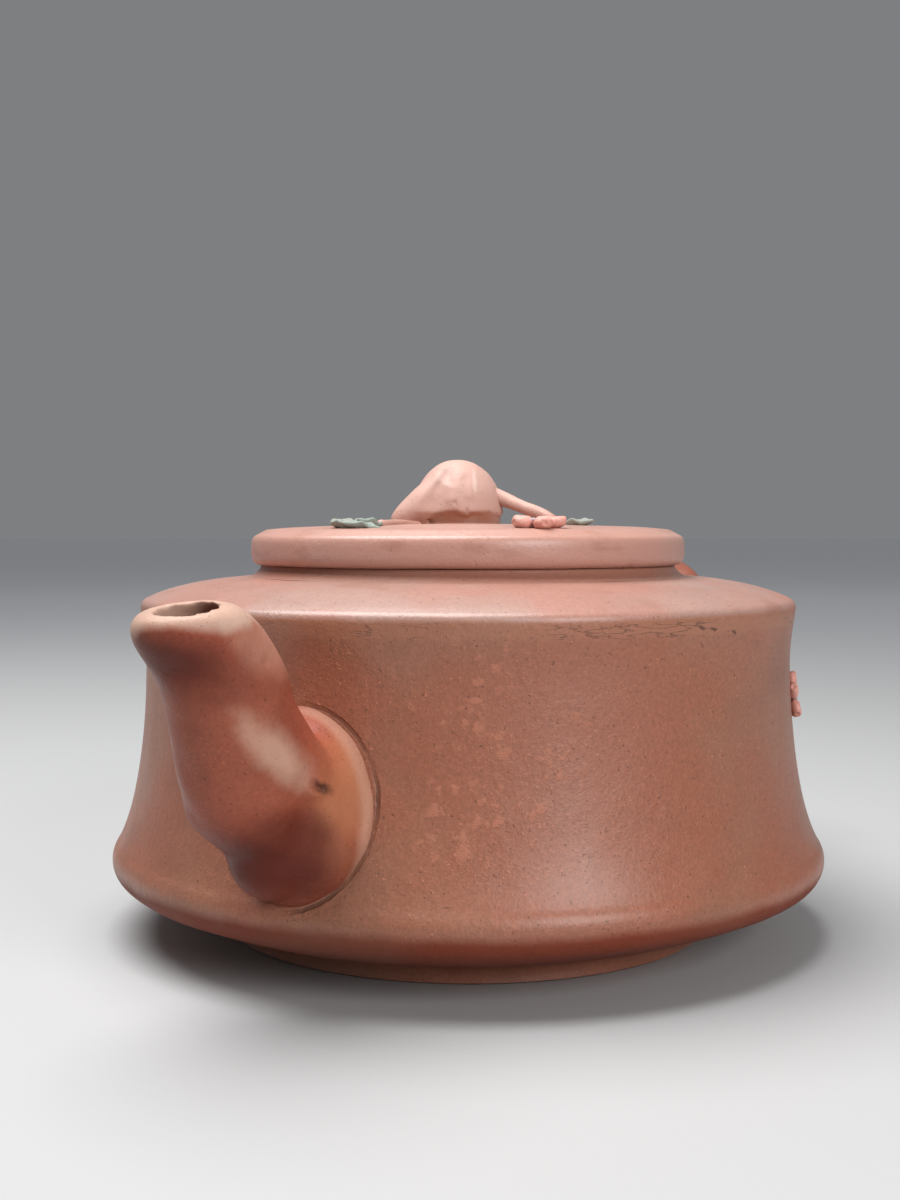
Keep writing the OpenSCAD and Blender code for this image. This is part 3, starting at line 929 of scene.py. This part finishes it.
class TEAPOT_OT_spout(bpy.types.Operator):
    """Makes the branch spout: a pipe on a flared root, with its knuckle, lip and channel"""

    bl_idname = "teapot.spout"
    bl_label = "Spout"

    PIPE = [
        (48, 0.8, 26.2, 0, 7.4, 7.0),
        (56, 0.7, 26.6, 6, 7.5, 7.5),
        (61.6, -0.5, 29.2, 42, 7.9, 8.0),
        (64.6, -0.5, 34.2, 66, 8.5, 8.2),
        (66.6, -0.3, 40, 70, 8.2, 8.2),
        (68.8, 0, 45.4, 74, 8.2, 8.0),
        (70.6, -0.4, 48.6, 78, 8.4, 7.7),
        (72.7, -0.8, 51.2, 82, 8.7, 7.8),
        (74.3, -0.8, 53.0, 84, 8.3, 7.5),
        (75.5, -0.6, 54.5, 83, 7.1, 6.6),
        (76.3, -0.4, 55.3, 82, 5.5, 5.2),
    ]
    RIDGE = [(66.6, 2.6, 41.6, 5.4), (63.4, 4.2, 36.6, 5.2), (60.2, 5.6, 32.6, 4.6), (57.4, 6.4, 29, 3.4)]
    CHANNEL = [
        (46, 0, 27.6, 7.2),
        (56, 0, 27.8, 6.0),
        (61.6, 0, 31, 5.6),
        (64.8, 0, 37, 5.4),
        (67.8, 0, 44, 5.2),
        (71.6, 0, 49.6, 4.6),
        (75.2, 0, 53, 4.0),
        (77.0, 0, 55.4, 3.8),
        (77.6, 0, 60, 4.0),
    ]
    COLLAR = [
        (-3.4, 40.2),
        (0.6, 41.0),
        (3.7, 40.4),
        (7.3, 38.3),
        (9.4, 36.1),
        (11.2, 32.3),
        (12.3, 28.5),
        (12.4, 25.9),
        (11.8, 22.2),
        (10.3, 19.6),
        (8.4, 17.4),
        (6.1, 15.4),
        (2.7, 14.2),
        (-0.3, 14.4),
        (-3.8, 15.4),
    ]

    # Right, height, push and reach of each finger mark.
    TOUCHES = [
        (-20.6, 27.4, -0.9, 5.5),
        (-28.8, 39.0, 0.5, 5.0),
        (-25.4, 36.2, 0.6, 4.0),
        (-22.0, 33.6, 0.6, 3.0),
        (-18.6, 31.5, 0.5, 2.6),
        (-19.1, 31.9, -0.9, 1.0),
        (-18.6, 31.5, -1.1, 1.0),
        (-18.1, 31.1, -0.9, 1.0),
        (-35.6, 34.0, -0.4, 4.0),
        (-26.8, 50.8, 0.4, 3.5),
        (-24.2, 48.4, -0.45, 1.1),
        (-33.6, 47.0, -0.5, 5.0),
        (-17.6, 38.6, -0.25, 1.0),
    ]

    def collar(self):
        """The rolled edge of the root where it is smoothed on to the wall."""
        rows, inset, middle = [], 1.7, Vector((ROOT_Y, ROOT_Z))
        for edge in self.COLLAR:
            y, z = Vector(edge) + (middle - Vector(edge)).normalized() * inset
            rows.append((math.sqrt(wall_radius(z) ** 2 - y * y) + 0.1, y, z, 1.7))
        return roll("collar", rows, 10)

    def execute(self, context):
        parts = [
            drawn_out("pipe", through(self.PIPE)),
            roll("ridge", self.RIDGE, 10),
            pellet("root", (54.0, 1.5, 28.7), (5.6, 10.4, 11.8)),
            pellet("root_low", (55.4, 2.6, 23.4), (5.6, 8.8, 8.8)),
            pellet("heel", (58.4, 0.0, 21.9), (6.4, 6.0, 6.8)),
            pellet("knuckle", (64.2, -2.6, 29.9), (6.0, 6.4, 6.4)),
            pellet("filling", (57.4, 5.6, 30.0), (4.4, 4.8, 7.4), (12, 0, 0)),
        ]
        spout = fuse("spout_clay", parts, 0.5, 34)
        spout = fuse("spout_clay", [spout, self.collar()], 0.5, 7)
        channel = roll("channel", self.CHANNEL, 12)
        cut(spout, channel)
        fuse("spout_clay", [spout], 0.36, 7)
        for place in self.TOUCHES:
            touch(spout, *place)
        cut(spout, Kiln.wall_core())
        discard(channel)
        hand_in(spout, "pot", "handled_clay", angle=60)
        return {"FINISHED"}


class TEAPOT_OT_handle(bpy.types.Operator):
    """Makes the branch handle with its sawn knots and the twig that crosses to the wall"""

    bl_idname = "teapot.handle"
    bl_label = "Handle"

    SCARS = (((-70, -2, 56), (-0.15, -0.75, 0.65), 2.9), ((-74.5, 1.5, 33), (-0.7, 0.7, -0.1), 2.4))
    TWIG = [
        (-72, 3, 53.6, 3.6),
        (-69.6, 8.8, 55.8, 3.3),
        (-64.4, 14.8, 55.4, 3.1),
        (-57, 20.2, 52, 2.9),
        (-49.4, 24.8, 46.8, 2.8),
        (-42, 28.6, 42.6, 2.6),
    ]

    def execute(self, context):
        reach = HANDLE_REACH
        rows = [
            (-46, 0, 44.5, 7.2),
            (-54, 0, 48, 6.9),
            (-61, 0, 53, 6.2),
            (-67.6, 0, 56, 5.8),
            (9.4 - reach, 0, 54.6, 5.7),
            (6 - reach, 0, 49.4, 5.6),
            (5.5 - reach, 0, 42.6, 5.5),
            (6.8 - reach, 0, 35.4, 5.3),
            (10.6 - reach, 0, 28.6, 5.3),
            (-65.6, 0, 23.2, 5.6),
            (-57, 0, 19.6, 6.4),
            (-48, 0, 16.6, 6.8),
        ]
        handle = fuse("handle_clay", [roll("loop", rows, 12)], 0.5, 4)
        wander(handle, 6, 0.35, 2)
        twig = fuse("handle_twig_clay", [roll("twig", self.TWIG, 10)], 0.4, 3)
        wander(twig, 4, 0.2, 2)
        take(*(self.knot(*scar) for scar in self.SCARS))
        bpy.ops.object.join()
        rings = bpy.context.object
        rings.name = rings.data.name = "handle_knots_clay"
        wander(rings, 2, 0.15, 2)
        for piece in (handle, twig, rings):
            if piece is not rings:
                cut(piece, Kiln.wall_core())
            hand_in(piece, "pot", "handled_clay", angle=60)
        return {"FINISHED"}

    def knot(self, inside, facing, width):
        """A healed branch scar: a rolled ring round a sunken middle, standing on its coil."""
        section = [(0.9, -1.6), (1, -0.6), (0.95, 0.3), (0.75, 0.75), (0.5, 0.55), (0.3, 0.1)]
        section = [(MIDDLE, -1.6)] + [(width * r, z) for r, z in section] + [(MIDDLE, -0.15)]
        scar = thrown("scar", section, 48, closed=False)
        facing = Vector(facing).normalized()
        place = Vector(inside) + facing * 5.5
        settle(scar, Matrix.Translation(place * MM) @ facing.to_track_quat("Z", "Y").to_matrix().to_4x4())
        return scar


class TEAPOT_OT_lid(bpy.types.Operator):
    """Turns the lid and its flange"""

    bl_idname = "teapot.lid"
    bl_label = "Lid"

    def execute(self, context):
        disc = thrown("lid_disc_clay", lid_outline(), closed=False)
        wander(disc, 14, 0.11)
        hand_in(disc, "lid", "shoulder_clay")
        bore = FLANGE_R - FLANGE_T
        flange = thrown(
            "lid_flange_clay",
            [
                (bore, SEAT_Z + 0.1),
                (bore, FLANGE_Z + 0.5),
                (bore + 0.5, FLANGE_Z),
                (FLANGE_R - 0.8, FLANGE_Z),
                (FLANGE_R, FLANGE_Z + 1),
                (FLANGE_R, SEAT_Z + 0.1),
            ],
        )
        hand_in(flange, "lid", "raw_clay")
        return {"FINISHED"}


class TEAPOT_OT_knob(bpy.types.Operator):
    """Makes the stump knob with its root, its torn skirt and the twig that runs down from it"""

    bl_idname = "teapot.knob"
    bl_label = "Knob and twigs"

    STUMP = [
        (-0.6, -1.6, 7.4, 7.7),
        (2, -1.7, 7.4, 7.6),
        (4.8, -1.8, 7.1, 7.4),
        (6.8, -1.75, 6.5, 6.65),
        (9.0, -1.8, 5.1, 5.3),
        (10.3, -1.9, 3.9, 4.0),
        (11.15, -1.95, 2.6, 2.7),
        (11.65, -2.0, 1.1, 1.2),
    ]
    TWIG = [
        (0.5, 2, 6.6, 1.5),
        (1.6, 5.6, 5.2, 1.25),
        (4, 9, 3.7, 1.05),
        (6.2, 12.4, 2.3, 1),
        (7.6, 15.2, 0.2, 0.9),
    ]
    ROOT = [(2.0, -3, 5.6, 4.8), (2.6, -6.6, 3.5, 3.9), (2.6, -9.6, 1.7, 2.9), (2.4, -11.5, 0.3, 2.1)]
    NOTCH = [(7.0, -1), (7.05, 1.2), (7.1, 2.2), (7.7, 2.9), (12, 3.2), (12, -1)]
    TEARS = [(-6.4, -1.3), (-4.6, 0.1), (-2.6, 0.6), (-0.3, -0.6)]
    TEARS += [(1.2, 0.5), (2.6, 0), (3.8, 0.5), (5.4, -0.5)]
    STEM = [(6.4, -8, 0.5, 0.9), (11, -10.6, 0.8, 0.8), (16, -12.6, 0.8, 0.75), (20, -14, 0.6, 0.6)]

    def execute(self, context):
        turn = Matrix.Rotation(math.radians(FRONT_TURN), 4, "Z")
        rows = [(0, right, h, 90, deep, wide) for h, right, deep, wide in self.STUMP]
        stump = drawn_out("stump", through(rows))
        settle(stump, Matrix.Translation((0, 0, LID_EDGE_Z * MM)) @ turn)
        knob = fuse("knob_stump_clay", [stump, lid_roll("root", self.ROOT, 10)], 0.3, 10)
        wander(knob, 9, 0.3, 0)
        for i in range(7):
            touch(knob, -3.3 - 0.55 * i, LID_EDGE_Z + 10 - 0.95 * i, -0.28, 2.0)
            touch(knob, -1.2 - 0.3 * i, LID_EDGE_Z + 9.8 - 0.9 * i, 0.12, 1.8)
        for i in range(8):
            touch(knob, 1.3 - 0.05 * i, LID_EDGE_Z + 9.6 - 0.6 * i, 0.08, 1.3)
        notch = thrown("notch", self.NOTCH, 96)
        settle(notch, Matrix.Translation(Vector(lid_spot(0, -1.6)) * MM))
        for right, lift in self.TEARS:
            edge = lid_spot(math.sqrt(max(7.6**2 - (right + 1.6) ** 2, 0)), right, 2.8)
            pull(notch, edge, (0, 0, lift), 1.5)
        slice_off(notch, lid_spot(0, -6.6), Vector(lid_spot(0, -1)) - Vector(lid_spot(0, 0)))
        cut(knob, notch)
        discard(notch)
        fuse("knob_stump_clay", [knob], 0.2, 3)
        for right, rise in ((-2.9, 4.35), (-2.5, 4.4), (-2.1, 4.45)):
            touch(knob, right, LID_EDGE_Z + rise, -0.16, 0.35)
        touch(knob, 0.5, LID_EDGE_Z + 3.5, -0.2, 0.4)
        cut(knob, Kiln.lid_core())
        twig = fuse("knob_twig_clay", [lid_roll("twig", self.TWIG)], 0.22, 2)
        stem = fuse("leaf_stem_clay", [lid_roll("stem", self.STEM)], 0.22, 2)
        for piece in (knob, twig, stem):
            if piece is not knob:
                wander(piece, 2.4, 0.1, 1)
            hand_in(piece, "lid", "shoulder_clay", angle=50)
        return {"FINISHED"}


class TEAPOT_OT_bough(bpy.types.Operator):
    """Makes the blossoming bough laid on the wall beside the handle"""

    bl_idname = "teapot.bough"
    bl_label = "Bough on the wall"

    BOUGH = [
        (146.5, 44.6, 2.6),
        (140, 42, 2.1),
        (132, 41.6, 1.8),
        (124, 39.6, 1.6),
        (118, 40.6, 1.3),
        (113.6, 40.4, 0.9),
    ]
    SHOOT = [(130, 41.2, 1.3), (126, 36.4, 1.1), (121, 32.6, 0.9)]

    def execute(self, context):
        paths = [[(*wall_spot(t, z), r) for t, z, r in rows] for rows in (self.BOUGH, self.SHOOT)]
        bough = fuse("wall_bough_clay", [roll("bough", path, 8) for path in paths], 0.35, 2)
        wander(bough, 2.6, 0.3, 2)
        cut(bough, Kiln.wall_core())
        hand_in(bough, "pot", "handled_clay", angle=60)
        return {"FINISHED"}


class TEAPOT_OT_blossoms(bpy.types.Operator):
    """Makes one blossom, one leaf and one bud, and lays copies on the lid and the wall"""

    bl_idname = "teapot.blossoms"
    bl_label = "Blossoms, leaves and buds"

    WALL_BLOSSOMS = [(108.6, 37.8, 10), (128, 46.2, 40), (138.6, 35, 65)]
    WALL_LEAVES = [(123.4, 29.6, -35), (119.4, 46.4, 60), (134.6, 47, 100), (146, 34.4, -15)]
    WALL_BUDS = [(116.4, 36.2), (120, 35.4), (131, 36.8)]
    VEINS = [(-2, 1), (-0.6, 1.2), (0.9, 1.1), (2.1, 0.8), (-1.7, -1), (-0.3, -1.2), (1.2, -1.1), (2.3, -0.7)]
    CURLS = [(-1.4, 1.8, 0.6), (0.4, 2.0, 0.1), (1.8, 1.5, 0.6), (-0.9, -1.9, 0.2), (0.9, -1.9, 0.7)]
    LID_LEAVES = [(22, -18.6, 35, 10, 1), (20.6, -15.2, -20, -12, 0.95), (25, -16.2, 80, 8, 0.8)]

    def petal(self):
        petal = fuse("petal", [pellet("petal", (2.75, 0, 0.85), (1.7, 1.48, 1.0), (0, -12, 0))], 0.15, 2)
        pull(petal, (2.9, 0, 1.5), (0, 0, -0.45), 1.2)
        pull(petal, (4.4, 0, 1.0), (-0.35, 0, 0), 0.7)
        return petal

    def blossom(self):
        first = self.petal()
        petals = [first]
        for i in range(1, 5):
            twin = copy_of(first, "petal")
            lift = Matrix.Translation((0, 0, (i % 2) * 0.15 * MM))
            settle(twin, Matrix.Rotation(math.radians(72 * i), 4, "Z") @ lift)
            petals.append(twin)
        take(*petals)
        bpy.ops.object.join()
        flower = bpy.context.object
        eye = [pellet("eye", (0, 0, 0.8), (1.25, 1.25, 0.75))]
        for i in range(6):
            turn = math.radians(60 * i + 15)
            place = (1.15 * math.cos(turn), 1.15 * math.sin(turn), 1.25)
            eye.append(pellet("grain", place, (0.32, 0.32, 0.3)))
        return flower, fuse("eye", eye, 0.14, 1)

    def leaf(self):
        leaf = fuse("leaf", [pellet("leaf", (0, 0, 0.4), (3.4, 2.0, 0.8))], 0.18, 2)
        pull(leaf, (3.4, 0, 0.3), (0.7, 0, 0.1), 1.3)
        pull(leaf, (-3.4, 0, 0.3), (-0.7, 0, 0.1), 1.3)
        for i in range(-4, 5):
            pull(leaf, (i * 0.75, 0, 1.1), (0, 0, -0.38), 0.62)
        for x, y in self.VEINS:
            pull(leaf, (x, y, 0.9), (0, 0, -0.22), 0.5)
        for x, y, lift in self.CURLS:
            pull(leaf, (x, y, 0.4), (0, 0.1 if y > 0 else -0.1, lift), 1.6)
        return leaf

    def lay(self, model, name, places):
        """Copies of one model at several places, joined into one piece."""
        copies = []
        for place in places:
            twin = copy_of(model, name)
            settle(twin, place)
            copies.append(twin)
        take(*copies)
        if len(copies) > 1:
            bpy.ops.object.join()
        piece = bpy.context.object
        piece.name = piece.data.name = name
        return piece

    def on_lid(self, forward, right, turn, tilt=0, up=0.0, size=1.0):
        return (
            Matrix.Translation(Vector(lid_spot(forward, right, up + 0.2)) * MM)
            @ Matrix.Rotation(math.radians(FRONT_TURN + turn), 4, "Z")
            @ Matrix.Rotation(math.radians(tilt), 4, "Y")
            @ Matrix.Scale(size, 4)
        )

    def on_wall(self, turn, height, spin, size=1.0, sink=0.0):
        place = Vector(wall_spot(turn, height, -sink))
        out = Vector((math.cos(math.radians(turn)), math.sin(math.radians(turn)), 0.12)).normalized()
        return (
            Matrix.Translation(place * MM)
            @ out.to_track_quat("Z", "Y").to_matrix().to_4x4()
            @ Matrix.Rotation(math.radians(spin), 4, "Z")
            @ Matrix.Scale(size, 4)
        )

    def execute(self, context):
        flower, eye = self.blossom()
        leaf = self.leaf()
        bud = pellet("bud", (0, 0, 0.5), (0.9, 1.0, 0.9))
        cup = pellet("cup", (0, -0.6, 0.3), (0.7, 0.7, 0.6))
        bud = fuse("bud", [bud, cup], 0.16, 1)
        lid_flower = [self.on_lid(27.2, 10.4, 14, 3)]
        lid_leaves = [self.on_lid(f, r, t, a, 0.1, k) for f, r, t, a, k in self.LID_LEAVES]
        wall_flowers = [self.on_wall(t, z, s, 0.92, 0.3) for t, z, s in self.WALL_BLOSSOMS]
        wall_leaves = [self.on_wall(t, z, s, 1, 0.25) for t, z, s in self.WALL_LEAVES]
        wall_buds = [self.on_wall(t, z, 20, 1.2, 0.1) for t, z in self.WALL_BUDS]
        pieces = [
            (flower, "lid_blossom", lid_flower, "lid", "pink_clay"),
            (eye, "lid_blossom_eye", lid_flower, "lid", "eye_clay"),
            (leaf, "lid_leaves", lid_leaves, "lid", "green_clay"),
            (leaf, "lid_side_leaf", [self.on_lid(10.4, 16.8, 60, -10, 0.2, 0.95)], "lid", "green_clay"),
            (bud, "lid_bud", [self.on_lid(12.6, -13.6, 60)], "lid", "pink_clay"),
            (flower, "wall_blossoms", wall_flowers, "pot", "pink_clay"),
            (eye, "wall_blossom_eyes", wall_flowers, "pot", "eye_clay"),
            (leaf, "wall_leaves", wall_leaves, "pot", "green_clay"),
            (bud, "wall_buds", wall_buds, "pot", "pink_clay"),
        ]
        for model, node, places, body, slot in pieces:
            piece = self.lay(model, node + "_clay", places)
            hand_in(piece, body, slot, [node], angle=70)
        discard(flower, eye, leaf, bud)
        return {"FINISHED"}


class TEAPOT_OT_finishes(bpy.types.Operator):
    """Gives the sieve, whose made shape is kept, its clay"""

    bl_idname = "teapot.finishes"
    bl_label = "Finish of the sieve"

    def execute(self, context):
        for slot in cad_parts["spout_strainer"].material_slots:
            slot.material = Kiln.clays["raw_clay"]
        return {"FINISHED"}


class TEAPOT_OT_studio(bpy.types.Operator):
    """Sets the camera, the pale floor and the soft lights"""

    bl_idname = "teapot.studio"
    bl_label = "Studio"

    DISTANCE = 250.15
    EYE = 64.55
    PITCH = 2.64
    YAW = 0.668
    LENS = 45
    SENSOR = 36
    FLOOR_REACH = 12  # metres
    FADE = 0.25, 1.4  # metres from the middle where the floor begins and ends to turn pale
    SURROUND = 0.26  # strength of the light from all round

    def execute(self, context):
        settings = context.scene.teapot_studio
        turn = math.radians(FRONT_TURN)
        camera_data = bpy.data.cameras.new("camera")
        camera_data.lens = self.LENS
        camera_data.sensor_width = self.SENSOR
        camera_data.clip_start = 0.01
        camera = bpy.data.objects.new("camera", camera_data)
        context.scene.collection.objects.link(camera)
        place = Vector((self.DISTANCE * math.cos(turn), self.DISTANCE * math.sin(turn), self.EYE))
        camera.location = place * MM
        camera.rotation_euler = (math.radians(90 - self.PITCH), 0, turn + math.radians(90 + self.YAW))
        context.scene.camera = camera

        clear_selection()
        bpy.ops.mesh.primitive_circle_add(vertices=96, radius=self.FLOOR_REACH, fill_type="NGON")
        floor = named("floor")
        finish = Finish("floor_paper")
        reach = finish.vector("LENGTH", {0: finish.place}, "Value")
        pale = finish.mix(finish.step(reach, *self.FADE), tuple(settings.floor), (0.95, 0.96, 1.0))
        floor.data.materials.append(finish.surface(pale, 0.6, finish.noise(1.5, 2) * 0.02))

        self.lamp(context, "key", (0.06, -0.14, 0.60), (0, 0, 0.03), 0.55, settings.key_power)
        self.lamp(context, "fill", (0.32, 0.56, 0.30), (0, 0, 0.035), 0.32, settings.fill_power)
        world = bpy.data.worlds.new("surround")
        world.use_nodes = True
        background = world.node_tree.nodes["Background"]
        background.inputs["Color"].default_value = (*settings.sky, 1)
        background.inputs["Strength"].default_value = self.SURROUND
        context.scene.world = world
        context.scene.view_settings.view_transform = "Standard"
        return {"FINISHED"}

    def lamp(self, context, name, at, to, size, power):
        data = bpy.data.lights.new(name, "AREA")
        data.shape = "DISK"
        data.size = size
        data.energy = power
        lamp = bpy.data.objects.new(name, data)
        context.scene.collection.objects.link(lamp)
        lamp.location = at
        lamp.rotation_euler = (Vector(to) - Vector(at)).to_track_quat("-Z", "Y").to_euler()


class TEAPOT_PT_pieces(bpy.types.Panel):
    """Lists the pieces and the settings"""

    bl_label = "Teapot"
    bl_space_type = "VIEW_3D"
    bl_region_type = "UI"
    bl_category = "Teapot"

    def draw(self, context):
        for operator in OPERATORS:
            self.layout.operator(operator.bl_idname)
        for group in (context.scene.teapot_clays, context.scene.teapot_hand, context.scene.teapot_studio):
            box = self.layout.box()
            for name in group.__annotations__:
                box.prop(group, name)


OPERATORS = (
    TEAPOT_OT_studio,
    TEAPOT_OT_vessel,
    TEAPOT_OT_rings,
    TEAPOT_OT_spout,
    TEAPOT_OT_handle,
    TEAPOT_OT_lid,
    TEAPOT_OT_knob,
    TEAPOT_OT_bough,
    TEAPOT_OT_blossoms,
    TEAPOT_OT_finishes,
)
GROUPS = {"teapot_clays": TeapotClays, "teapot_hand": TeapotHand, "teapot_studio": TeapotStudio}


def register():
    for cls in (*GROUPS.values(), *OPERATORS, TEAPOT_PT_pieces):
        bpy.utils.register_class(cls)
    for name, group in GROUPS.items():
        setattr(bpy.types.Scene, name, bpy.props.PointerProperty(type=group))


def unregister():
    for name in GROUPS:
        delattr(bpy.types.Scene, name)
    for cls in (TEAPOT_PT_pieces, *reversed(OPERATORS), *reversed(list(GROUPS.values()))):
        bpy.utils.unregister_class(cls)


def main():
    register()
    Kiln.fire(bpy.context.scene)
    for operator in OPERATORS:
        group, name = operator.bl_idname.split(".")
        getattr(getattr(bpy.ops, group), name)()
    Kiln.put_away()


if __name__ == "__main__":
    main()
